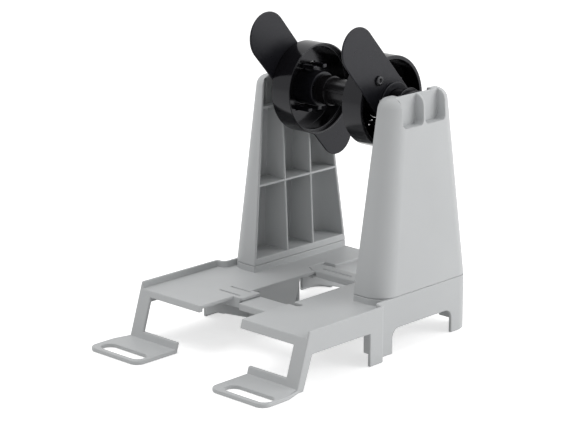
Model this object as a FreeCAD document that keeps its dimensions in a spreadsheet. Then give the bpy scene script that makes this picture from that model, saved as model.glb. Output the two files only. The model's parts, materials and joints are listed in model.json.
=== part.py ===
import FreeCAD, Part

import math
import os
import re

import Sketcher
from FreeCAD import Placement, Rotation, Vector

# A stand that holds a roll of labels behind a small desktop printer.
# The base is two plastic halves that hook together, and a hollow tower stands on each.
# A black spindle lies across the towers, with two hubs for a wide core and two guide plates.
#
# X runs along the spindle and Y from the front tabs to the back.
# Every y below is measured from the middle of the towers, and each piece is then placed at middleY.
# The spindle's own pieces are measured from its axis, which lies axleBack further back.
# Z is the height above the table.

sizes = {
    # how far a cutter reaches past what it cuts, and the height of the soles' lowest edge
    "spare": 5.0,
    "sole": 0.001,
    # the towers' middle and the spindle's axis in the part's own frame
    "middleY": 69.3,
    "axleBack": 1.8,
    "axleZ": 190.0,
    # one half of the base, seen from above; the other is its mirror image
    "halfWidth": 92.7,
    "sideJog": 8.1,
    "gapHalf": 22.6,
    "frontTop": 146.8,
    "frontToe": 161.5,
    "frontWall": 2.4,
    "deckRear": 56.4,
    "jogFront": 61.2,
    "jogRadius": 3.5,
    "cornerRadius": 17.0,
    "wall": 2.8,
    "rimWall": 2.4,
    "deckTop": 40.6,
    "deckPlate": 2.8,
    "rimTop": 45.9,
    "skirtBottom": 33.3,
    "sideBottom": 27.0,
    "leftSkirt": 35.3,
    # feet under the tower zone
    "footFront": 78.2,
    "footDepth": 36.0,
    "archRise": 20.2,
    "archRadius": 7.5,
    "archRear": 30.3,
    "returnWidth": 7.5,
    "returnLift": 10.0,
    "rearReturnLift": 12.3,
    "innerFootFront": 83.2,
    "innerFootRear": 33.7,
    "innerFootLean": 6.0,
    "innerFootBackLean": 13.3,
    # leaning front leg with its tab
    "legWidth": 13.4,
    "legBack": 143.5,
    "legToe": 8.0,
    "tabFront": 201.7,
    "tabInner": 39.4,
    "tabFlare": 4.7,
    "tabKink": 174.0,
    "tabThick": 3.3,
    "tabRadius": 8.0,
    "heelTop": 8.8,
    "slotLeft": 67.3,
    "slotRight": 71.6,
    "slotY": 190.2,
    "slotLength": 46.5,
    "slotWidth": 13.5,
    # bridges that hook the two halves together
    "bridgeFront": 112.2,
    "bridgeDepth": 21.0,
    "tongueEnd": 13.4,
    "shelfFront": 115.8,
    "bridgeClear": 0.3,
    "bridgeSkirt": 31.6,
    "skirtWall": 1.8,
    "apronEnd": 15.8,
    "tongueRound": 4.0,
    "latchStart": 43.0,
    "latchLength": 23.0,
    "latchSlot": 1.6,
    "latchNear": 107.2,
    "latchFar": 94.7,
    "stripFront": 16.7,
    "stripRear": 0.8,
    "stripEnd": 34.0,
    "stripCutLong": 9.0,
    "stripCutDeep": 5.0,
    "stripSkirt": 35.0,
    "stripSlotFar": 22.0,
    "stripSlotNear": 10.0,
    "recessRear": 7.8,
    # rails under the deck, set back from its inner edge
    "railFace": 35.4,
    "railWall": 2.6,
    "railBottom": 25.6,
    "railRound": 3.0,
    "railFrontEnd": 130.5,
    "railBend": 118.1,
    "railFoot": 12.6,
    "rearRailFront": 18.7,
    "rearRailTop": 23.3,
    "rearRailStep": 1.8,
    "rearRailBend": 2.0,
    "rearRailFoot": 12.5,
    "notchBack": 93.0,
    "notchDeep": 8.0,
    "notchRound": 3.0,
    # towers
    "towerDeep": 30.1,
    "innerLean": 7.8,
    "outerLean": 6.3,
    "towerTop": 202.0,
    "towerHalfFoot": 56.0,
    "towerHalfTop": 37.4,
    "towerRound": 9.5,
    "towerWall": 2.6,
    "seamGap": 0.5,
    "seamDeep": 0.6,
    "towerRib": 2.0,
    "ribOffset": 15.5,
    "ribTop": 196.0,
    "midRib": 112.9,
    "floorTop": 51.8,
    "floorPlate": 2.6,
    "saddleFront": 21.2,
    "saddleRear": 20.4,
    "stopInset": 16.4,
    "stopThick": 2.3,
    "pocketHalf": 25.2,
    "pocketShift": 1.0,
    "pocketRound": 3.5,
    "pocketFloor": 178.0,
    "pocketRib": 2.5,
    # screws that hold each tower on its plinth
    "screwInset": 15.6,
    "towerScrewY": 32.0,
    "bossRadius": 4.0,
    "screwShank": 1.5,
    "screwHead": 2.9,
    "screwSocket": 1.2,
    "screwHeadHigh": 2.2,
    "screwLength": 7.4,
    "screwClear": 0.2,
    # shaft and its end bushings
    "shaftRadius": 11.1,
    "shaftGap": 0.3,
    "shaftBore": 8.6,
    "shaftPlug": 4.0,
    "spigotRadius": 9.0,
    "spigotShort": 2.4,
    "keyWidth": 2.4,
    "keyHeight": 1.2,
    "keyAngle": 160.0,
    "keyClear": 0.3,
    "collarRadius": 12.2,
    "collarLong": 10.9,
    "runClear": 0.05,
    "bushRadius": 12.7,
    "bushProud": 3.8,
    "bushEndClear": 0.6,
    "bushRim": 14.2,
    "bushRimWide": 2.1,
    "seatClear": 0.3,
    # hub drums, each measured from its own outer end
    "hubRadius": 37.5,
    "hubWall": 3.0,
    "hubLength": 19.7,
    "hubWeb": 2.2,
    "hubWebFace": 0.4,
    "hubDeepFace": 14.0,
    "hubLip": 1.4,
    "hubLipDeep": 4.5,
    "hubInset": 4.0,
    "hubRight": 42.5,
    # guide plates with their sleeves
    "plateThick": 1.6,
    "plateWide": 20.4,
    "plateNarrow": 18.4,
    "plateReach": 81.8,
    "plateAngle": 131.7,
    "sleeveRadius": 14.4,
    "sleeveLength": 22.7,
    "sleeveClear": 0.2,
    "sleeveBore": 0.08,
    "catchWide": 4.6,
    "catchThick": 3.0,
    "catchReach": 16.4,
    "catchOut": 17.2,
    "catchSide": 5.8,
    "catchLean": 3.0,
    "windowClear": 0.4,
    # screws that hold a plate on its hub
    "plateScrewOut": 26.9,
    "plateScrewHead": 4.0,
    "plateScrewHigh": 1.9,
    "plateScrewShank": 1.5,
    "plateScrewTip": 6.0,
    "plateScrewSocket": 1.3,
    "plateScrewBoss": 3.6,
    "bossLength": 7.0,
    "plateCollar": 17.0,
    "plateCollarHigh": 2.5,
}

# lengths that follow from the sizes above
follows = {
    "towerWidth": "(halfWidth - sideJog)",
    "tabOuter": "(halfWidth + tabFlare)",
    "towerInnerFoot": "(towerWidth - towerDeep)",
    "towerInnerTop": "(towerInnerFoot + innerLean)",
    "towerOuterTop": "(towerWidth - outerLean)",
    "stopWall": "(towerWidth - stopInset)",
    "towerScrewX": "(towerWidth - screwInset)",
    "bushInner": "(towerInnerTop - bushProud)",
    "bushOuter": "(stopWall - bushEndClear)",
    "shaftHalf": "(bushInner - shaftGap)",
    "spigotEnd": "(bushOuter - spigotShort)",
    "hubLeft": "(shaftHalf - hubInset)",
    "collarOuter": "(hubLeft - sleeveLength - sleeveClear)",
    "collarInner": "(collarOuter - collarLong)",
}

doc = FreeCAD.newDocument("LabelRollHolder")
sheet = doc.addObject("Spreadsheet::Sheet", "Sizes")
for row, (alias, value) in enumerate(sizes.items(), start=1):
    sheet.set(f"A{row}", alias)
    sheet.set(f"B{row}", str(value))
    sheet.setAlias(f"B{row}", alias)
doc.recompute()


def bound(text):
    # a size's name becomes the sheet's cell of that name, and a length that follows is written out
    def cell(match):
        word = match.group(0)
        if word in follows:
            return bound(follows[word])
        return "Sizes." + word if word in sizes else word
    return re.sub(r"[A-Za-z]\w*", cell, text)


def number(text):
    return float(sheet.evalExpression(bound(text)))


def bind(item, **values):
    # binds properties; double underscores stand for dots
    for path, text in values.items():
        item.setExpression(path.replace("__", "."), bound(text))
    return item


def block(name, x1, x2, y1, y2, z1, z2):
    box = doc.addObject("Part::Box", name)
    bind(box, Length=f"({x2}) - ({x1})", Width=f"({y2}) - ({y1})", Height=f"({z2}) - ({z1})")
    return bind(box, Placement__Base__x=x1, Placement__Base__y=y1, Placement__Base__z=z1)


def rod(name, axis, radius, along1, along2, first="0", second="0"):
    # a cylinder along X, Y or Z; first and second are its centre on the other two axes, in XYZ order
    cylinder = doc.addObject("Part::Cylinder", name)
    turn = {"x": Rotation(Vector(0, 1, 0), 90), "y": Rotation(Vector(1, 0, 0), -90), "z": Rotation()}
    cylinder.Placement = Placement(Vector(), turn[axis])
    bind(cylinder, Radius=radius, Height=f"({along2}) - ({along1})")
    others = [letter for letter in "xyz" if letter != axis]
    places = {axis: along1, others[0]: first, others[1]: second}
    for letter, text in places.items():
        cylinder.setExpression("Placement.Base." + letter, bound(text))
    return cylinder


def fuse(name, *pieces):
    joined = doc.addObject("Part::MultiFuse", name)
    joined.Shapes = list(pieces)
    joined.Refine = True
    return joined


def cut(name, base, *tools):
    result = doc.addObject("Part::Cut", name)
    result.Base = base
    result.Tool = tools[0] if len(tools) == 1 else fuse(name + "Tools", *tools)
    result.Refine = True
    return result


def common(name, base, tool):
    result = doc.addObject("Part::Common", name)
    result.Base = base
    result.Tool = tool
    return result


def mirror(name, source):
    # the same piece on the other side of the middle plane
    result = doc.addObject("Part::Mirroring", name)
    result.Source = source
    result.Normal = Vector(1, 0, 0)
    return result


def tangentPoint(corner, neighbour):
    # where a rounded corner's arc starts on the square edge towards the neighbour
    sign = "+" if number(neighbour[1]) > number(corner[1]) else "-"
    if neighbour[0] == corner[0]:
        return corner[0], f"({corner[1]}) {sign} ({corner[2]})"
    sign = "+" if number(neighbour[0]) > number(corner[0]) else "-"
    return f"({corner[0]}) {sign} ({corner[2]})", corner[1]


def outline(body, name, planeRole, corners, height):
    # a closed sketch through the corners; a corner's third value is its radius
    sketch = body.newObject("Sketcher::SketchObject", name)
    plane = next(item for item in body.Origin.OriginFeatures if item.Role == planeRole)
    sketch.AttachmentSupport = (plane, [""])
    sketch.MapMode = "FlatFace"
    sketch.setExpression("AttachmentOffset.Base.z", bound(height))
    count = len(corners)
    ends = []
    for index, corner in enumerate(corners):
        if len(corner) == 2:
            ends.append((corner, corner))
            continue
        before = corners[index - 1]
        after = corners[(index + 1) % count]
        ends.append((tangentPoint(corner, before), tangentPoint(corner, after)))
    points = [[Vector(number(u), number(v), 0) for u, v in pair] for pair in ends]
    rules = []
    for index in range(count):
        following = (index + 1) % count
        sketch.addGeometry(Part.LineSegment(points[index][1], points[following][0]), False)
        for place, (u, v) in ((1, ends[index][1]), (2, ends[following][0])):
            if place == 2 and len(corners[following]) == 2:
                continue
            rules.append(("DistanceX", index, place, u))
            rules.append(("DistanceY", index, place, v))
    for index, corner in enumerate(corners):
        before = (index - 1) % count
        if len(corner) == 2:
            sketch.addConstraint(Sketcher.Constraint("Coincident", before, 2, index, 1))
            continue
        start, stop = points[index]
        peak = Vector(number(corner[0]), number(corner[1]), 0)
        centre = start + stop - peak
        radius = number(corner[2])
        outward = (peak - start).cross(stop - peak).z > 0
        first, last = (start, stop) if outward else (stop, start)
        low = math.atan2(first.y - centre.y, first.x - centre.x)
        high = math.atan2(last.y - centre.y, last.x - centre.x)
        circle = Part.Circle(centre, Vector(0, 0, 1), radius)
        arc = sketch.addGeometry(Part.ArcOfCircle(circle, low, high), False)
        startPlace, stopPlace = (1, 2) if outward else (2, 1)
        sketch.addConstraint(Sketcher.Constraint("Coincident", before, 2, arc, startPlace))
        sketch.addConstraint(Sketcher.Constraint("Coincident", arc, stopPlace, index, 1))
        rule = sketch.addConstraint(Sketcher.Constraint("Radius", arc, radius))
        sketch.setExpression(f"Constraints[{rule}]", bound(corner[2]))
    for kind, edge, place, text in rules:
        rule = sketch.addConstraint(Sketcher.Constraint(kind, -1, 1, edge, place, number(text)))
        sketch.setExpression(f"Constraints[{rule}]", bound(text))
    return sketch


def prism(name, planeRole, corners, low, high):
    # an outline on a plane, padded from low to high along the plane's normal
    body = doc.addObject("PartDesign::Body", name)
    pad = body.newObject("PartDesign::Pad", name + "Pad")
    pad.Profile = outline(body, name + "Sketch", planeRole, corners, low)
    bind(pad, Length=f"({high}) - ({low})")
    body.Tip = pad
    return body


def frontAt(level):
    # the base's front leans forward from the rim down to the toes
    return f"-frontToe + (frontToe - frontTop) * ({level}) / rimTop"


def basePlan(inset, innerEdge, frontEdge, rearEdge):
    # one half's outline from above, inset from its outer wall
    return [
        (innerEdge, frontEdge),
        (f"halfWidth - {inset}", frontEdge),
        (f"halfWidth - {inset}", f"-jogFront - {inset}", f"jogRadius - {inset}"),
        (f"towerWidth - {inset}", f"-jogFront - {inset}", f"jogRadius + {inset}"),
        (f"towerWidth - {inset}", rearEdge, f"cornerRadius - {inset}"),
        (innerEdge, rearEdge),
    ]


def plinthPlan(inset):
    # a tower's outline from above where it meets the base
    front = f"-towerHalfFoot + ({inset})"
    rear = f"towerHalfFoot - ({inset})"
    inner = f"towerInnerFoot + ({inset})"
    outer = f"towerWidth - ({inset})"
    radius = f"cornerRadius - ({inset})"
    return [(inner, front), (outer, front, radius), (outer, rear, radius), (inner, rear)]


def stadium(name, x, y, length, width, low, high):
    half = f"({length} - {width}) / 2"
    core = block(name + "Core", f"{x} - {half}", f"{x} + {half}",
                 f"{y} - {width} / 2", f"{y} + {width} / 2", low, high)
    ends = [rod(name + label, "z", f"{width} / 2", low, high, f"{x} {sign} {half}", y)
            for label, sign in (("Near", "-"), ("Far", "+"))]
    return fuse(name, core, *ends)


def halfShell():
    # what the two base halves have in common, drawn on the right
    skirtFront = frontAt("skirtBottom")
    whole = prism("HalfOuter", "XY_Plane", basePlan("0", "gapHalf", skirtFront, "deckRear"), "0", "rimTop")
    hollow = prism("HalfHollow", "XY_Plane",
                   basePlan("wall", "gapHalf - 1", f"{frontAt('deckTop')} + frontWall", "deckRear - wall"),
                   "-1", "deckTop - deckPlate")
    above = prism("HalfAbove", "XY_Plane",
                  basePlan("rimWall", "gapHalf - spare", f"{skirtFront} - spare", "deckRear + spare"),
                  "deckTop", "rimTop + 1")
    slope = prism("FrontSlope", "YZ_Plane", [
        (frontAt("-1"), "-1"),
        (frontAt("rimTop + 1"), "rimTop + 1"),
        (frontAt("-1"), "rimTop + 1"),
    ], "gapHalf - 1", "halfWidth + 1")
    underFront = block("UnderFront", "gapHalf - spare", "halfWidth + spare", "-frontToe", "-legBack", "-1",
                       "skirtBottom")
    underSide = block("UnderSide", "halfWidth - legWidth", "halfWidth + spare", "-legBack - 1",
                      "-footFront", "-1", "sideBottom")
    underInner = block("UnderInner", "gapHalf - spare", "towerScrewX", "-frontToe", "deckRear + spare", "-1",
                       "skirtBottom")
    arch = prism("FootArch", "YZ_Plane", [
        ("-footFront + footDepth", "-1"),
        ("archRear", "-1"),
        ("archRear", "archRise", "archRadius"),
        ("-footFront + footDepth", "archRise", "archRadius"),
    ], "towerScrewX", "halfWidth + spare")
    shell = cut("HalfOpen", whole, hollow, above, slope, underFront, underSide, underInner, arch)

    under = "deckTop - deckPlate / 2"
    plinth = prism("Plinth", "XY_Plane", plinthPlan("0"), "deckTop - deckPlate", "rimTop")
    frontReturn = block("FootReturn", "halfWidth - returnWidth", "halfWidth - wall / 2", "-footFront",
                        "-footFront + wall", "returnLift", under)
    rearReturn = block("RearReturn", "towerWidth - legWidth", "towerWidth - wall / 2", "archRear",
                       "archRear + wall", "rearReturnLift", under)
    innerFoot = prism("InnerFoot", "YZ_Plane", [
        ("-innerFootFront + innerFootLean", "sole"),
        ("-innerFootRear - innerFootBackLean", "sole"),
        ("-innerFootRear", under),
        ("-innerFootFront", under),
    ], "gapHalf", "gapHalf + wall")
    body = fuse("HalfBody", shell, plinth, frontReturn, rearReturn, innerFoot, *frontLeg(), *rails())

    roof = prism("PlinthHollow", "XY_Plane", plinthPlan("wall"), "skirtBottom", "rimTop - wall")
    holes = [rod(f"PlinthHole{index}", "z", "screwShank + screwClear", "deckTop - deckPlate - 1",
                 "rimTop + 1", "towerScrewX", f"{sign}towerScrewY")
             for index, sign in enumerate(("-", ""))]
    return cut("HalfShell", body, roof, *holes)


def tabSlot(name, x):
    return stadium(name, x, "-slotY", "slotLength", "slotWidth", "-1", "tabThick + 1")


def frontLeg():
    # the leaning front leg, the heel along its foot and the tab in front
    under = "deckTop - deckPlate / 2"
    high = "skirtBottom + 1"
    side = prism("LegSide", "YZ_Plane", [
        (frontAt("0"), "sole"),
        (f"{frontAt('0')} + legToe", "sole"),
        ("-legBack", "sideBottom"),
        ("-legBack", under),
        (frontAt(under), under),
    ], "halfWidth - wall", "halfWidth")
    front = prism("LegFront", "YZ_Plane", [
        (frontAt("0"), "sole"),
        (f"{frontAt('0')} + wall", "sole"),
        (f"{frontAt(high)} + wall", high),
        (frontAt(high), high),
    ], "halfWidth - legWidth", "halfWidth")
    heel = prism("TabHeel", "YZ_Plane", [
        (frontAt("0"), "sole"),
        (f"{frontAt('0')} + wall", "sole"),
        (f"{frontAt('heelTop')} + wall", "heelTop"),
        (frontAt("heelTop"), "heelTop"),
    ], "tabInner", "halfWidth")
    tab = prism("Tab", "XY_Plane", [
        ("tabInner", "-frontToe + wall"),
        ("tabInner", "-tabFront", "tabRadius"),
        ("tabOuter", "-tabFront", "tabRadius"),
        ("tabOuter", "-tabKink"),
        ("halfWidth", "-frontToe + wall"),
    ], "0", "tabThick")
    return side, front, heel, tab


def rails():
    # two walls that hang from the deck, set back from its inner edge
    top = "deckTop - deckPlate / 2"
    places = ("railFace", "railFace + railWall")
    front = prism("FrontRail", "YZ_Plane", [
        ("-railFrontEnd", top),
        ("-railFrontEnd", "railBottom", "railRound"),
        ("-railBend", "railBottom"),
        ("-innerFootFront", "railFoot"),
        ("-innerFootFront + wall", "railFoot"),
        ("-innerFootFront + wall", top),
    ], *places)
    rear = prism("RearRail", "YZ_Plane", [
        ("-rearRailFront", top),
        ("-rearRailFront", "rearRailTop"),
        ("rearRailBend", "rearRailTop - rearRailStep"),
        ("archRear", "rearRailFoot"),
        ("deckRear - wall / 2", "rearRailFoot"),
        ("deckRear - wall / 2", top),
    ], *places)
    ties = [block(f"FootTie{index}", "gapHalf + wall / 2", "railFace + railWall / 2", f"{edge}",
                  f"{edge} + wall", "railFoot", top)
            for index, edge in enumerate(("-innerFootFront", "-innerFootRear - wall"))]
    return front, rear, *ties


def stripPlan(grown):
    # the rear bridge's outline from above, with one corner cut off
    end = f"-stripEnd - {grown}"
    front = f"-stripFront - {grown}"
    return [
        (end, f"stripRear + {grown}"),
        (end, f"{front} + stripCutDeep"),
        (f"{end} + stripCutLong", front),
        ("gapHalf + 1", front),
        ("gapHalf + 1", f"stripRear + {grown}"),
    ]


def baseLeft(shell):
    under = "deckTop - deckPlate"
    half = mirror("LeftShell", shell)
    rear = "-bridgeFront + bridgeDepth"
    tongue = prism("Tongue", "XY_Plane", [
        ("-gapHalf - 1", "-bridgeFront"),
        ("-tongueEnd", "-bridgeFront", "tongueRound"),
        ("-tongueEnd", rear),
        ("-gapHalf - 1", rear),
    ], under, "deckTop")
    apron = block("Apron", "-railFace - railWall / 2", "-apronEnd", "-bridgeFront",
                  "-bridgeFront + skirtWall", "bridgeSkirt", f"{under} + 1")
    floor = block("RecessFloor", "-stripEnd - wall", "-gapHalf", "-stripFront - wall", "stripRear",
                  f"{under} - bridgeClear - deckPlate", f"{under} - bridgeClear")
    body = fuse("LeftBody", half, tongue, apron, floor)
    slots = [block(f"LatchSlot{index}", "-latchStart", "-latchStart + latchLength",
                   f"-{place} - latchSlot / 2", f"-{place} + latchSlot / 2", f"{under} - 1",
                   "deckTop + 1")
             for index, place in enumerate(("latchNear", "latchFar"))]
    recess = prism("StripRecess", "XY_Plane", stripPlan("bridgeClear"), f"{under} - bridgeClear",
                   "rimTop + 1")
    gap = block("RecessGap", "-stripEnd - bridgeClear", "-gapHalf + 1", "stripRear", "recessRear",
                f"{under} - 1", "rimTop + 1")
    skirtGap = block("SkirtGap", "-halfWidth + legWidth", "-gapHalf + 1", frontAt("0"),
                     f"{frontAt('deckTop')} + frontWall", "skirtBottom - 1", "leftSkirt")
    return cut("BaseLeft", body, recess, gap, skirtGap, tabSlot("TabSlotLeft", "-slotLeft"), *slots)


def baseRight(shell):
    under = "deckTop - deckPlate"
    top = f"{under} - bridgeClear"
    rear = "-bridgeFront + bridgeDepth"
    shelf = block("Shelf", "-tongueEnd", "gapHalf + 1", "-shelfFront", rear, f"{top} - deckPlate", top)
    shelfSkirt = block("ShelfSkirt", "-tongueEnd", "gapHalf + 1", "-shelfFront",
                       "-shelfFront + skirtWall", "bridgeSkirt", f"{top} - deckPlate / 2")
    riser = block("ShelfRiser", "gapHalf", "gapHalf + wall", "-shelfFront", rear, f"{top} - deckPlate",
                  f"{under} + deckPlate / 2")
    finger = block("Finger", "-railFace + bridgeClear", "gapHalf + 1",
                   "-bridgeFront + skirtWall + bridgeClear", f"{rear} - 1", f"{top} - deckPlate", top)
    strip = prism("Strip", "XY_Plane", stripPlan("0"), under, "deckTop")
    stripSkirt = block("StripSkirt", "-gapHalf + bridgeClear", "gapHalf + 1", "-stripFront",
                       "-stripFront + skirtWall", "stripSkirt", f"{under} + 1")
    body = fuse("RightBody", shell, shelf, shelfSkirt, riser, finger, strip, stripSkirt)
    middle = "(stripRear - stripFront) / 2"
    slot = block("StripSlot", "-stripSlotFar", "stripSlotNear", f"{middle} - latchSlot / 2",
                 f"{middle} + latchSlot / 2", f"{under} - 1", "deckTop + 1")
    notch = block("EdgeNotch", "gapHalf - 1", "gapHalf + notchDeep", "-notchBack - notchRound",
                  "-notchBack + notchRound", f"{under} - 1", "deckTop + 1")
    notchEnd = rod("EdgeNotchEnd", "z", "notchRound", f"{under} - 1", "deckTop + 1",
                   "gapHalf + notchDeep", "-notchBack")
    return cut("BaseRight", body, slot, notch, notchEnd, tabSlot("TabSlotRight", "slotRight"))


def towerBlock(name, inset, low, high, reach, top=None):
    # a tapering block with the tower's slopes, inset from its skin, with rounded outer corners
    def across(foot, head, level):
        return f"{foot} + ({head} - {foot}) * (({level}) - rimTop) / (towerTop - rimTop)"

    sides = {}
    for prefix, level in (("X", low), ("X2", high)):
        sides[prefix + "min"] = f"{across('towerInnerFoot', 'towerInnerTop', level)} - {reach}"
        sides[prefix + "max"] = f"{across('towerWidth', 'towerOuterTop', level)} - {inset}"
    for prefix, level in (("Z", low), ("Z2", high)):
        half = f"{across('towerHalfFoot', 'towerHalfTop', level)} - {inset}"
        sides[prefix + "min"] = f"-({half})"
        sides[prefix + "max"] = half
    body = doc.addObject("PartDesign::Body", name)
    wedge = body.newObject("PartDesign::AdditiveWedge", name + "Wedge")
    wedge.Placement = Placement(Vector(), Rotation(Vector(1, 0, 0), 90))
    bind(wedge, Ymin=low, Ymax=high, **sides)
    doc.recompute()
    near = 0.01
    outer = number(sides["X2max"]) - near
    tall = number(high) - number(low) - near
    corners = [f"Edge{index}" for index, edge in enumerate(wedge.Shape.Edges, start=1)
               if edge.BoundBox.XMin > outer and edge.BoundBox.ZLength > tall]
    rounded = body.newObject("PartDesign::Fillet", name + "Corners")
    rounded.Base = (wedge, corners)
    bind(rounded, Radius=f"cornerRadius - {inset}")
    body.Tip = rounded
    if top:
        doc.recompute()
        roof = number(high) - near
        inner = number(sides["X2min"]) + near
        edges = [f"Edge{index}" for index, edge in enumerate(rounded.Shape.Edges, start=1)
                 if edge.BoundBox.ZMin > roof and edge.BoundBox.XMax > inner]
        crown = body.newObject("PartDesign::Fillet", name + "Crown")
        crown.Base = (rounded, edges)
        bind(crown, Radius=top)
        body.Tip = crown
    return body


def towerRight():
    upper = towerBlock("TowerUpper", "0", "rimTop + seamGap", "towerTop", "0", top="towerRound")
    foot = prism("TowerFoot", "XY_Plane", plinthPlan("seamDeep"), "rimTop", "rimTop + seamGap + 1")
    solid = fuse("TowerSolid", upper, foot)
    roof = "towerTop - towerWall"
    hollow = towerBlock("TowerHollow", "towerWall", "floorTop", roof, "spare")
    under = towerBlock("TowerUnder", "towerWall", "rimTop - sole", "floorTop - floorPlate", "-towerWall")
    skin = cut("TowerSkin", solid, hollow, under)

    wide = ("-towerHalfFoot", "towerHalfFoot")
    ribs = [block(f"TowerRib{index}", "0", "stopWall + 1", f"{sign}ribOffset - towerRib / 2",
                  f"{sign}ribOffset + towerRib / 2", "floorTop - floorPlate", "ribTop")
            for index, sign in enumerate(("-", ""))]
    deepRibs = [block(f"TowerDeepRib{index}", "0", "towerWidth", f"{sign}ribOffset - towerRib / 2",
                      f"{sign}ribOffset + towerRib / 2", "floorTop - floorPlate", "pocketFloor - 1")
                for index, sign in enumerate(("-", ""))]
    middle = block("TowerMidRib", "0", "towerWidth", *wide, "midRib - towerRib", "midRib")
    shelfTop = "axleZ - bushRadius - seatClear"
    shelf = block("TowerShelf", "0", "towerWidth", *wide, f"{shelfTop} - towerRib", shelfTop)
    box = block("PocketBox", "stopWall", "towerWidth", "-pocketHalf - towerRib",
                "pocketHalf + towerRib", f"{shelfTop} - towerRib", "towerTop")
    inside = common("TowerInside", solid, fuse("TowerWebs", *ribs, *deepRibs, middle, shelf, box))
    bosses = [rod(f"TowerBoss{index}", "z", "bossRadius", "rimTop", "floorTop - floorPlate / 2",
                  "towerScrewX", f"{sign}towerScrewY")
              for index, sign in enumerate(("-", ""))]
    body = fuse("TowerBody", skin, inside, *bosses)

    pockets = [prism(f"Pocket{index}", "YZ_Plane", [
        (near, "pocketFloor", "pocketRound"),
        (far, "pocketFloor", "pocketRound"),
        (far, "towerTop + 1"),
        (near, "towerTop + 1"),
    ], "stopWall + stopThick", "towerWidth + 1")
        for index, (near, far) in enumerate((
            ("-pocketHalf - pocketShift", "-pocketRib / 2 - pocketShift"),
            ("pocketRib / 2 - pocketShift", "pocketHalf - pocketShift")))]
    saddle = block("Saddle", "0", "stopWall", "-saddleFront", "saddleRear", "ribTop", "towerTop + 1")
    pilots = [rod(f"TowerPilot{index}", "z", "screwShank", "rimTop - 1",
                  "rimTop - wall + screwLength", "towerScrewX", f"{sign}towerScrewY")
              for index, sign in enumerate(("-", ""))]
    return cut("TowerRight", body, saddle, *pockets, *pilots)


def towerScrews():
    under = "rimTop - wall"
    screws = []
    for index, sign in enumerate(("-", "")):
        place = ("towerScrewX", f"{sign}towerScrewY")
        head = rod(f"TowerScrewHead{index}", "z", "screwHead", f"{under} - screwHeadHigh", under, *place)
        shank = rod(f"TowerScrewShank{index}", "z", "screwShank", under, f"{under} + screwLength", *place)
        socket = rod(f"TowerScrewSocket{index}", "z", "screwSocket", f"{under} - screwHeadHigh - 1",
                     f"{under} - screwHeadHigh / 2", *place)
        screws.append(cut(f"TowerScrew{index}", fuse(f"TowerScrewBody{index}", head, shank), socket))
    group = doc.addObject("Part::Compound", "TowerScrews")
    group.Links = screws
    return group


def shaft():
    tube = rod("ShaftTube", "x", "shaftRadius", "-shaftHalf", "shaftHalf")
    collar = rod("ShaftCollar", "x", "collarRadius", "-collarOuter", "-collarInner")
    spigots = rod("ShaftSpigot", "x", "spigotRadius", "-spigotEnd", "spigotEnd")
    key = doc.addObject("Part::Box", "ShaftKey")
    key.Placement = Placement(Vector(), Rotation(Vector(1, 0, 0), number("keyAngle")))
    bind(key, Length="hubRight + hubLeft", Width="shaftRadius + keyHeight", Height="keyWidth")
    bind(key, Placement__Base__x="-hubLeft", Placement__Rotation__Angle="keyAngle")
    body = fuse("ShaftBody", tube, collar, spigots, key)
    bore = rod("ShaftHollow", "x", "shaftBore", "-shaftHalf + shaftPlug", "shaftHalf - shaftPlug")
    return cut("Shaft", body, bore)


def bushing():
    # end bushing on the right; the shaft's spigot turns in it
    drum = rod("BushDrum", "x", "bushRadius", "bushInner", "bushOuter")
    rim = rod("BushRim", "x", "bushRim", "bushInner", "bushInner + bushRimWide")
    bore = rod("BushBore", "x", "spigotRadius + runClear", "bushInner - 1", "spigotEnd + seatClear")
    return cut("Bushing", fuse("BushBody", drum, rim), bore)


def catches():
    # the middles of the plate's four spring catches, which pass through the hub's web
    return [(f"{label}{index}", f"{offset} {side or '+'} catchLean", f"{side}catchOut")
            for label, side in (("Upper", ""), ("Lower", "-"))
            for index, offset in enumerate(("-catchSide", "catchSide"))]


def screwPlaces():
    # the middles of a plate's two screws, on its long axis
    turn = "(plateAngle * 1 deg)"
    return [(f"{sign}plateScrewOut * cos{turn}", f"{sign}plateScrewOut * sin{turn}") for sign in ("-", "")]


def hub(name, webFace, bossEnd):
    # a hub drum from the plate's side at x = 0 inwards, with its web at webFace
    webBack = f"{webFace} + hubWeb"
    inner = "hubRadius - hubWall"
    rim = rod(name + "Rim", "x", "hubRadius", "0", "hubLength")
    outerCup = rod(name + "OuterCup", "x", inner, "-1", webFace)
    innerCup = rod(name + "InnerCup", "x", inner, webBack, "hubLength + 1")
    cup = cut(name + "Cup", rim, outerCup, innerCup)
    bosses = [rod(f"{name}Boss{index}", "x", "plateScrewBoss", "0", bossEnd, *place)
              for index, place in enumerate(screwPlaces())]
    body = fuse(name + "Body", cup, *bosses)
    lip = rod(name + "Lip", "x", "hubRadius - hubLip", "hubLength - hubLipDeep", "hubLength + 1")
    centre = rod(name + "Centre", "x", "sleeveRadius + sleeveClear", "-1", "hubLength + 1")
    pilots = [rod(f"{name}Pilot{index}", "x", "plateScrewShank", "-1", "plateScrewTip", *place)
              for index, place in enumerate(screwPlaces())]
    windows = [block(f"{name}Window{label}", f"{webFace} - 1", f"{webBack} + 1",
                     f"{y} - catchWide / 2 - windowClear", f"{y} + catchWide / 2 + windowClear",
                     f"{z} - catchThick / 2 - windowClear", f"{z} + catchThick / 2 + windowClear")
               for label, y, z in catches()]
    return cut(name, body, lip, centre, *pilots, *windows)


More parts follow.
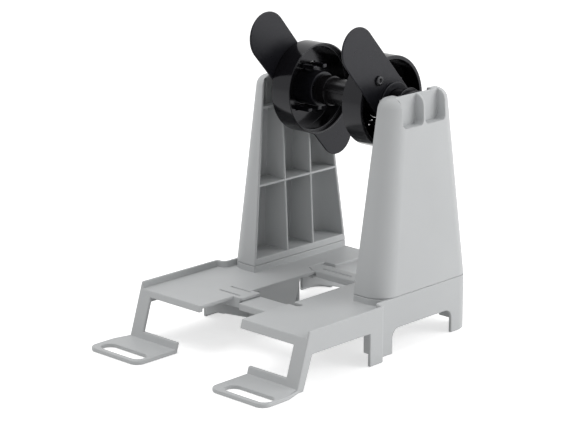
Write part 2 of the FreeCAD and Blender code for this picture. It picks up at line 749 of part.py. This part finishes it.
def bladeOutline(name, wideSide):
    # two round ends of different size, joined by straight sides that touch both
    narrowSide = "-" if wideSide == "" else ""
    ends = (("Wide", "plateWide", wideSide), ("Narrow", "plateNarrow", narrowSide))
    rounds = [rod(name + label, "x", radius, "-plateThick", "0", f"{side}(plateReach - {radius})")
              for label, radius, side in ends]
    lean = "asin((plateWide - plateNarrow) / (2 * plateReach - plateWide - plateNarrow))"
    corners = []
    for label, radius, side in ends:
        along = f"{side}(plateReach - {radius}) {wideSide or '+'} {radius} * sin({lean})"
        across = f"{radius} * cos({lean})"
        pair = [(along, across), (along, f"-{across}")]
        corners += pair if label == "Wide" else pair[::-1]
    return fuse(name + "Outline", *rounds, prism(name + "Sides", "YZ_Plane", corners, "-plateThick", "0"))


def guidePlate(name, wideSide):
    # a guide plate with its sleeve and catches, on the same origin as its hub
    blade = doc.addObject("Part::Compound", name + "Blade")
    blade.Links = [bladeOutline(name, wideSide)]
    blade.Placement = Placement(Vector(), Rotation(Vector(1, 0, 0), number("plateAngle")))
    bind(blade, Placement__Rotation__Angle="plateAngle")
    collar = rod(name + "Collar", "x", "plateCollar", "-plateThick - plateCollarHigh", "0")
    sleeve = rod(name + "Sleeve", "x", "sleeveRadius", "-plateThick", "sleeveLength")
    fingers = [block(f"{name}Catch{label}", "-plateThick / 2", "catchReach",
                     f"{y} - catchWide / 2", f"{y} + catchWide / 2",
                     f"{z} - catchThick / 2", f"{z} + catchThick / 2")
               for label, y, z in catches()]
    body = fuse(name + "Body", blade, collar, sleeve, *fingers)
    start = "-plateThick - plateCollarHigh - 1"
    bore = rod(name + "Bore", "x", "shaftRadius + sleeveBore", start, "sleeveLength + 1")
    keyway = doc.addObject("Part::Box", name + "Keyway")
    keyway.Placement = Placement(Vector(), Rotation(Vector(1, 0, 0), number("keyAngle")))
    bind(keyway, Length=f"sleeveLength + 1 - ({start})", Width="shaftRadius + keyHeight + keyClear",
         Height="keyWidth + 2 * keyClear")
    bind(keyway, Placement__Base__x=start, Placement__Rotation__Angle="keyAngle",
         Placement__Base__y="keyClear * sin(keyAngle * 1 deg)",
         Placement__Base__z="-keyClear * cos(keyAngle * 1 deg)")
    holes = [rod(f"{name}Hole{index}", "x", "plateScrewShank + screwClear", "-plateThick - 1", "1", *place)
             for index, place in enumerate(screwPlaces())]
    return cut(name, body, bore, keyway, *holes)


def plateScrews():
    screws = []
    for index, place in enumerate(screwPlaces()):
        face = "-plateThick"
        head = rod(f"PlateScrewHead{index}", "x", "plateScrewHead", f"{face} - plateScrewHigh", face, *place)
        shank = rod(f"PlateScrewShank{index}", "x", "plateScrewShank", face,
                    "plateScrewTip - screwClear", *place)
        body = fuse(f"PlateScrewBody{index}", head, shank)
        socket = rod(f"PlateScrewSocket{index}", "x", "plateScrewSocket",
                     f"{face} - plateScrewHigh - 1", f"{face} - plateScrewHigh / 2", *place)
        screws.append(cut(f"PlateScrew{index}", body, socket))
    group = doc.addObject("Part::Compound", "PlateScrews")
    group.Links = screws
    return group


def node(label, source, x="0", y="middleY", z="0"):
    # a finished piece: the source shape set in its place in the part's frame
    piece = doc.addObject("Part::Compound", label)
    piece.Links = [source]
    piece.Label = label
    return bind(piece, Placement__Base__x=x, Placement__Base__y=y, Placement__Base__z=z)


def spindleNode(label, source, x="0"):
    return node(label, source, x, "middleY + axleBack", "axleZ")


shell = halfShell()
tower = towerRight()
screws = towerScrews()
bush = bushing()
plateFasteners = plateScrews()

nodes = [
    node("base_left", baseLeft(shell)),
    node("base_right", baseRight(shell)),
    node("tower_left", mirror("TowerLeft", tower)),
    node("tower_right", tower),
    node("tower_screws_left", mirror("TowerScrewsLeft", screws)),
    node("tower_screws_right", screws),
    spindleNode("shaft", shaft()),
    spindleNode("bushing_left", mirror("BushingLeft", bush)),
    spindleNode("bushing_right", bush),
    spindleNode("hub_left", hub("HubLeft", "hubWebFace", "bossLength"), "-hubLeft"),
    spindleNode("hub_right", mirror("HubTurned", hub("HubRight", "hubDeepFace", "hubDeepFace + hubWeb / 2")),
                "hubRight"),
    spindleNode("guide_plate_left", guidePlate("PlateLeft", ""), "-hubLeft"),
    spindleNode("guide_plate_right", mirror("PlateTurned", guidePlate("PlateRight", "-")), "hubRight"),
    spindleNode("plate_screws_left", plateFasteners, "-hubLeft"),
    spindleNode("plate_screws_right", mirror("PlateScrewsTurned", plateFasteners), "hubRight"),
]
doc.recompute()

for item in doc.Objects:
    if "Invalid" in item.State or "Error" in item.State:
        raise RuntimeError(f"{item.Label}: {item.State}")
for piece in nodes:
    if piece.Shape.isNull() or not piece.Shape.isValid():
        raise RuntimeError(f"{piece.Label}: no valid shape")

os.makedirs("parts", exist_ok=True)
for piece in nodes:
    piece.Shape.exportStep(f"parts/{piece.Label}.step")
    box = piece.Shape.BoundBox
    print(f"{piece.Label}: {len(piece.Shape.Solids)} solid(s), {piece.Shape.Volume / 1000:.2f} cm3, "
          f"x {box.XMin:.1f} {box.XMax:.1f}, y {box.YMin:.1f} {box.YMax:.1f}, "
          f"z {box.ZMin:.1f} {box.ZMax:.1f}")
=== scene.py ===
import json
import math

import bmesh
import bpy
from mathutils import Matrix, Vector


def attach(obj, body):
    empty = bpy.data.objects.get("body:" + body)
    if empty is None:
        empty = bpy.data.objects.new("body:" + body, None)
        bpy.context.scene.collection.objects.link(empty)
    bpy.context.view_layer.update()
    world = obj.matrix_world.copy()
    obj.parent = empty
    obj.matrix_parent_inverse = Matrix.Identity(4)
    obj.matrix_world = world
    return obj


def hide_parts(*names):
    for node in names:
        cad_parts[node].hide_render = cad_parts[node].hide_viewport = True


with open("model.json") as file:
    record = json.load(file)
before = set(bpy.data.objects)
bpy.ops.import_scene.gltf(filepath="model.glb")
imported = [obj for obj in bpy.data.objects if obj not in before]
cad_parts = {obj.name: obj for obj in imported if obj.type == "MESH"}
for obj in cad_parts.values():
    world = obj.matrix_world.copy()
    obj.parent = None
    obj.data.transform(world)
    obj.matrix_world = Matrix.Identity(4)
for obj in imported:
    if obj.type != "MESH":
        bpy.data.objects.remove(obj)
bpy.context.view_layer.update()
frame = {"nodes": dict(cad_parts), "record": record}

scene = bpy.context.scene
record = frame["record"]
bodyOf = {node: body for body, nodes in record["behaviour"]["bodies"].items() for node in nodes}
print("frame loaded:", len(frame["nodes"]), "pieces")


# shader helpers

def addNode(tree, kind, **settings):
    shaderNode = tree.nodes.new(kind)
    for name, value in settings.items():
        if hasattr(shaderNode, name):
            setattr(shaderNode, name, value)
        else:
            shaderNode.inputs[name.replace("_", " ")].default_value = value
    return shaderNode


def newMaterial(name):
    material = bpy.data.materials.new(name)
    material.use_nodes = True
    tree = material.node_tree
    shader = tree.nodes["Principled BSDF"]
    return material, tree, shader


def ramp(tree, factor, stops):
    shaderNode = tree.nodes.new("ShaderNodeValToRGB")
    elements = shaderNode.color_ramp.elements
    elements[0].position, elements[0].color = stops[0]
    elements[1].position, elements[1].color = stops[-1]
    for position, colour in stops[1:-1]:
        elements.new(position).color = colour
    tree.links.new(factor, shaderNode.inputs["Fac"])
    return shaderNode.outputs["Color"]


def grey(level, tint=(1, 1, 1)):
    return (level * tint[0], level * tint[1], level * tint[2], 1)


greyShell = {
    "colour": (0.538, 0.550, 0.556),
    "cloud": 0.035,  # how far the moulded colour drifts over the piece
    "roughness": 0.46,
    "grainScale": 1900.0,
    "grainDepth": 0.00005,
    "edgeRadius": 0.0007,
}


def makeGreyShell(name="fineGreyPlastic"):
    # spark-eroded grey moulding: a fine even grain, slightly uneven gloss
    material, tree, shader = newMaterial(name)
    place = addNode(tree, "ShaderNodeTexCoord").outputs["Object"]
    cloud = addNode(tree, "ShaderNodeTexNoise", Scale=9.0, Detail=3.0, Roughness=0.5)
    grain = addNode(tree, "ShaderNodeTexNoise", Scale=greyShell["grainScale"], Detail=2.0, Roughness=0.6)
    rub = addNode(tree, "ShaderNodeTexNoise", Scale=55.0, Detail=5.0, Roughness=0.65)
    for texture in (cloud, grain, rub):
        tree.links.new(place, texture.inputs["Vector"])
    red, green, blue = greyShell["colour"]
    low, high = 1 - greyShell["cloud"], 1 + greyShell["cloud"]
    colour = ramp(tree, cloud.outputs["Fac"], [
        (0.3, (red * low, green * low, blue * low, 1)),
        (0.7, (red * high, green * high, blue * high, 1)),
    ])
    tree.links.new(colour, shader.inputs["Base Color"])
    gloss = ramp(tree, rub.outputs["Fac"], [
        (0.3, grey(greyShell["roughness"] - 0.05)),
        (0.7, grey(greyShell["roughness"] + 0.07)),
    ])
    tree.links.new(gloss, shader.inputs["Roughness"])
    soft = addNode(tree, "ShaderNodeBevel", samples=4, Radius=greyShell["edgeRadius"])
    bump = addNode(tree, "ShaderNodeBump", Strength=0.25, Distance=greyShell["grainDepth"])
    tree.links.new(grain.outputs["Fac"], bump.inputs["Height"])
    tree.links.new(soft.outputs["Normal"], bump.inputs["Normal"])
    tree.links.new(bump.outputs["Normal"], shader.inputs["Normal"])
    shader.inputs["IOR"].default_value = 1.46
    return material


blackPlastic = {
    "edgeRadius": 0.0004,
    "waveScale": 38.0,
    "hazeScale": 120.0,
    "fleckScale": 900.0,
    "kinds": {
        # colour, roughness, how much it reflects, depth of the surface's slow waves
        "plate": ((0.0070, 0.0070, 0.0090), 0.30, 0.25, 0.0003),
        "drum": ((0.0050, 0.0048, 0.0058), 0.14, 0.30, 0.0004),
        "shaft": ((0.0035, 0.0032, 0.0036), 0.22, 0.22, 0.0002),
        "screw": ((0.0060, 0.0060, 0.0065), 0.18, 0.40, 0.0001),
    },
}


def makeBlackPlastic(name, kind):
    # black moulding with the faint waviness and handling haze of thin glossy plastic
    (red, green, blue), roughness, reflection, waveDepth = blackPlastic["kinds"][kind]
    material, tree, shader = newMaterial(name)
    place = addNode(tree, "ShaderNodeTexCoord").outputs["Object"]
    wave = addNode(tree, "ShaderNodeTexNoise", Scale=blackPlastic["waveScale"], Detail=1.0, Roughness=0.4)
    haze = addNode(tree, "ShaderNodeTexNoise", Scale=blackPlastic["hazeScale"], Detail=6.0, Roughness=0.7)
    fleck = addNode(tree, "ShaderNodeTexNoise", Scale=blackPlastic["fleckScale"], Detail=2.0, Roughness=0.5)
    for texture in (wave, haze, fleck):
        tree.links.new(place, texture.inputs["Vector"])
    colour = ramp(tree, fleck.outputs["Fac"], [
        (0.35, (red, green, blue, 1)),
        (0.75, (red * 1.5, green * 1.5, blue * 1.5, 1)),
    ])
    tree.links.new(colour, shader.inputs["Base Color"])
    gloss = ramp(tree, haze.outputs["Fac"], [
        (0.35, grey(roughness - 0.03)),
        (0.75, grey(roughness + 0.07)),
    ])
    tree.links.new(gloss, shader.inputs["Roughness"])
    soft = addNode(tree, "ShaderNodeBevel", samples=4, Radius=blackPlastic["edgeRadius"])
    bump = addNode(tree, "ShaderNodeBump", Strength=0.12, Distance=waveDepth)
    tree.links.new(wave.outputs["Fac"], bump.inputs["Height"])
    tree.links.new(soft.outputs["Normal"], bump.inputs["Normal"])
    tree.links.new(bump.outputs["Normal"], shader.inputs["Normal"])
    shader.inputs["Specular IOR Level"].default_value = reflection
    shader.inputs["Specular Tint"].default_value = (0.93, 0.94, 1.0, 1)
    shader.inputs["IOR"].default_value = 1.5
    return material


def makeZincSteel(name="zincScrewSteel"):
    material, tree, shader = newMaterial(name)
    place = addNode(tree, "ShaderNodeTexCoord").outputs["Object"]
    brush = addNode(tree, "ShaderNodeTexNoise", Scale=700.0, Detail=4.0, Roughness=0.6)
    tree.links.new(place, brush.inputs["Vector"])
    tree.links.new(ramp(tree, brush.outputs["Fac"], [(0.3, grey(0.22)), (0.7, grey(0.38))]),
                   shader.inputs["Roughness"])
    tree.links.new(ramp(tree, brush.outputs["Fac"], [(0.3, grey(0.50)), (0.7, grey(0.62))]),
                   shader.inputs["Base Color"])
    shader.inputs["Metallic"].default_value = 1.0
    return material


greyPlastic = makeGreyShell()
platePlastic = makeBlackPlastic("satinBlackPlates", "plate")
drumPlastic = makeBlackPlastic("polishedBlackDrums", "drum")
shaftPlastic = makeBlackPlastic("dullBlackShaft", "shaft")
screwLacquer = makeBlackPlastic("blackScrewLacquer", "screw")
screwSteel = makeZincSteel()
print("finishes made")


# rounded edges: each moulded piece is its CAD form with the sharp edges taken off

moulding = {
    "sharpAngle": math.radians(28),
    "flatAngle": math.radians(0.5),
    "weld": 0.000002,
    "share": 0.44,  # the most of a narrow face that one rounding may use
    "innerCorner": 0.25,  # inner corners are rounded this much of an outer edge
    "rings": 3,
    "pieces": {
        # edge radius and finish
        "base": (0.0008, greyPlastic),
        "tower": (0.0007, greyPlastic),
        "hub": (0.0004, drumPlastic),
        "guide_plate": (0.0006, platePlastic),
        "shaft": (0.0004, shaftPlastic),
        "bushing": (0.0004, drumPlastic),
        "plate_screws": (0.0009, screwLacquer),
        "tower_screws": (0.0005, screwSteel),
    },
}


def smoothPatches(form):
    # groups of faces that run into each other without a sharp edge, and how wide each group is
    widths = {}
    for seed in form.faces:
        if seed in widths:
            continue
        patch, border, waiting = {seed}, 0.0, [seed]
        while waiting:
            face = waiting.pop()
            for edge in face.edges:
                if edge.calc_face_angle(0) > moulding["sharpAngle"]:
                    border += edge.calc_length()
                    continue
                for other in edge.link_faces:
                    if other not in patch:
                        patch.add(other)
                        waiting.append(other)
        area = sum(face.calc_area() for face in patch)
        width = 2 * area / border if border else 1.0
        for face in patch:
            widths[face] = width
    return widths


def keepInside(rounded, sharp):
    # rounding takes material away, so nothing may pass the box of the sharp form
    corners = [vertex.co for vertex in sharp.vertices]
    low = [min(corner[axis] for corner in corners) for axis in range(3)]
    high = [max(corner[axis] for corner in corners) for axis in range(3)]
    for vertex in rounded.vertices:
        vertex.co = [min(max(vertex.co[axis], low[axis]), high[axis]) for axis in range(3)]


def roundedPiece(node, radius, finish):
    source = frame["nodes"][node]
    form = bmesh.new()
    form.from_mesh(source.data)
    bmesh.ops.remove_doubles(form, verts=form.verts, dist=moulding["weld"])
    bmesh.ops.dissolve_limit(form, angle_limit=moulding["flatAngle"], verts=form.verts,
                             edges=form.edges, use_dissolve_boundaries=False)
    wide = [face for face in form.faces if len(face.verts) > 4]
    bmesh.ops.triangulate(form, faces=wide, ngon_method="BEAUTY")
    widths = smoothPatches(form)
    weight = form.edges.layers.float.new("bevel_weight_edge")
    for edge in form.edges:
        if edge.calc_face_angle(0) < moulding["sharpAngle"]:
            continue
        narrow = min(widths[face] for face in edge.link_faces)
        most = 1.0 if edge.is_convex else moulding["innerCorner"]
        edge[weight] = min(most, moulding["share"] * narrow / radius)
    for face in form.faces:
        face.smooth = True
    mesh = bpy.data.meshes.new(node + "Moulded")
    form.to_mesh(mesh)
    form.free()
    piece = bpy.data.objects.new(node + "Moulded", mesh)
    scene.collection.objects.link(piece)
    rounding = piece.modifiers.new("rounding", "BEVEL")
    rounding.limit_method = "WEIGHT"
    rounding.width = radius
    rounding.segments = moulding["rings"]
    rounding.use_clamp_overlap = False
    rounding.loop_slide = False
    normals = piece.modifiers.new("flatFaces", "WEIGHTED_NORMAL")
    normals.mode = "FACE_AREA"
    normals.weight = 60
    evaluated = piece.evaluated_get(bpy.context.evaluated_depsgraph_get())
    solid = bpy.data.meshes.new_from_object(evaluated)
    piece.modifiers.clear()
    keepInside(solid, source.data)
    piece.data = solid
    solid.materials.clear()
    solid.materials.append(finish)
    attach(piece, bodyOf[node])
    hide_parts(node)
    return piece


for node in frame["nodes"]:
    kind = node.removesuffix("_left").removesuffix("_right")
    roundedPiece(node, *moulding["pieces"][kind])
print("edges rounded:", len(frame["nodes"]), "pieces")


studio = {
    "floorSize": 8.0,
    "floorColour": 0.86,
    "floorGlow": 0.60,
    "worldLight": 0.43,
    "softboxes": {
        "rearSoftbox": {"place": (1.45, 1.15, 0.75), "power": 19.5, "size": 1.5},
        "topSoftbox": {"place": (-0.6, -0.3, 2.2), "power": 22.0, "size": 1.9},
    },
}


def seenDirectly(tree):
    # 1 for camera, glossy and transmission rays, 0 for the rays that light the object
    path = addNode(tree, "ShaderNodeLightPath")
    first = addNode(tree, "ShaderNodeMath", operation="MAXIMUM")
    second = addNode(tree, "ShaderNodeMath", operation="MAXIMUM")
    tree.links.new(path.outputs["Is Camera Ray"], first.inputs[0])
    tree.links.new(path.outputs["Is Glossy Ray"], first.inputs[1])
    tree.links.new(first.outputs[0], second.inputs[0])
    tree.links.new(path.outputs["Is Transmission Ray"], second.inputs[1])
    return second.outputs[0]


def makeFloor():
    half = studio["floorSize"] / 2
    mesh = bpy.data.meshes.new("studioFloor")
    mesh.from_pydata([(-half, -half, 0), (half, -half, 0), (half, half, 0), (-half, half, 0)], [],
                     [(0, 1, 2, 3)])
    floor = bpy.data.objects.new("studioFloor", mesh)
    scene.collection.objects.link(floor)
    floor.location.z = -0.0002
    material, tree, shader = newMaterial("paleFloor")
    shader.inputs["Base Color"].default_value = grey(studio["floorColour"])
    shader.inputs["Roughness"].default_value = 0.9
    shader.inputs["Specular IOR Level"].default_value = 0.0
    glow = addNode(tree, "ShaderNodeEmission", Color=(1, 1, 1, 1))
    strength = addNode(tree, "ShaderNodeMath", operation="MULTIPLY")
    strength.inputs[1].default_value = studio["floorGlow"]
    tree.links.new(seenDirectly(tree), strength.inputs[0])
    tree.links.new(strength.outputs[0], glow.inputs["Strength"])
    add = addNode(tree, "ShaderNodeAddShader")
    output = tree.nodes["Material Output"]
    tree.links.new(shader.outputs[0], add.inputs[0])
    tree.links.new(glow.outputs[0], add.inputs[1])
    tree.links.new(add.outputs[0], output.inputs["Surface"])
    mesh.materials.append(material)


def makeWorld():
    world = bpy.data.worlds.new("whiteRoom")
    scene.world = world
    world.use_nodes = True
    tree = world.node_tree
    background = tree.nodes["Background"]
    background.inputs["Color"].default_value = (1, 1, 1, 1)
    strength = addNode(tree, "ShaderNodeMapRange")
    strength.inputs["To Min"].default_value = studio["worldLight"]
    strength.inputs["To Max"].default_value = 1.0
    tree.links.new(seenDirectly(tree), strength.inputs["Value"])
    tree.links.new(strength.outputs["Result"], background.inputs["Strength"])


def makeSoftbox(name, place, power, size):
    light = bpy.data.lights.new(name, "AREA")
    light.energy = power
    light.size = size
    lamp = bpy.data.objects.new(name, light)
    scene.collection.objects.link(lamp)
    lamp.location = place
    aim = Vector((0, 0, 0.1)) - Vector(place)
    lamp.rotation_euler = aim.to_track_quat("-Z", "Y").to_euler()


makeFloor()
makeWorld()
for name, softbox in studio["softboxes"].items():
    makeSoftbox(name, softbox["place"], softbox["power"], softbox["size"])
print("studio lit")


camera = {
    "place": (1.0766, -1.1338, 0.5313),
    "tilt": (74.770, 0.0, 43.557),
    "lens": 126.61,
    "sensor": 36.0,
}


def makeCamera():
    lens = bpy.data.cameras.new("photoCamera")
    lens.lens = camera["lens"]
    lens.sensor_width = camera["sensor"]
    lens.sensor_fit = "HORIZONTAL"
    lens.clip_start = 0.05
    body = bpy.data.objects.new("photoCamera", lens)
    scene.collection.objects.link(body)
    body.location = camera["place"]
    body.rotation_euler = [math.radians(angle) for angle in camera["tilt"]]
    scene.camera = body


makeCamera()
scene.view_settings.view_transform = "Standard"
print("camera set")
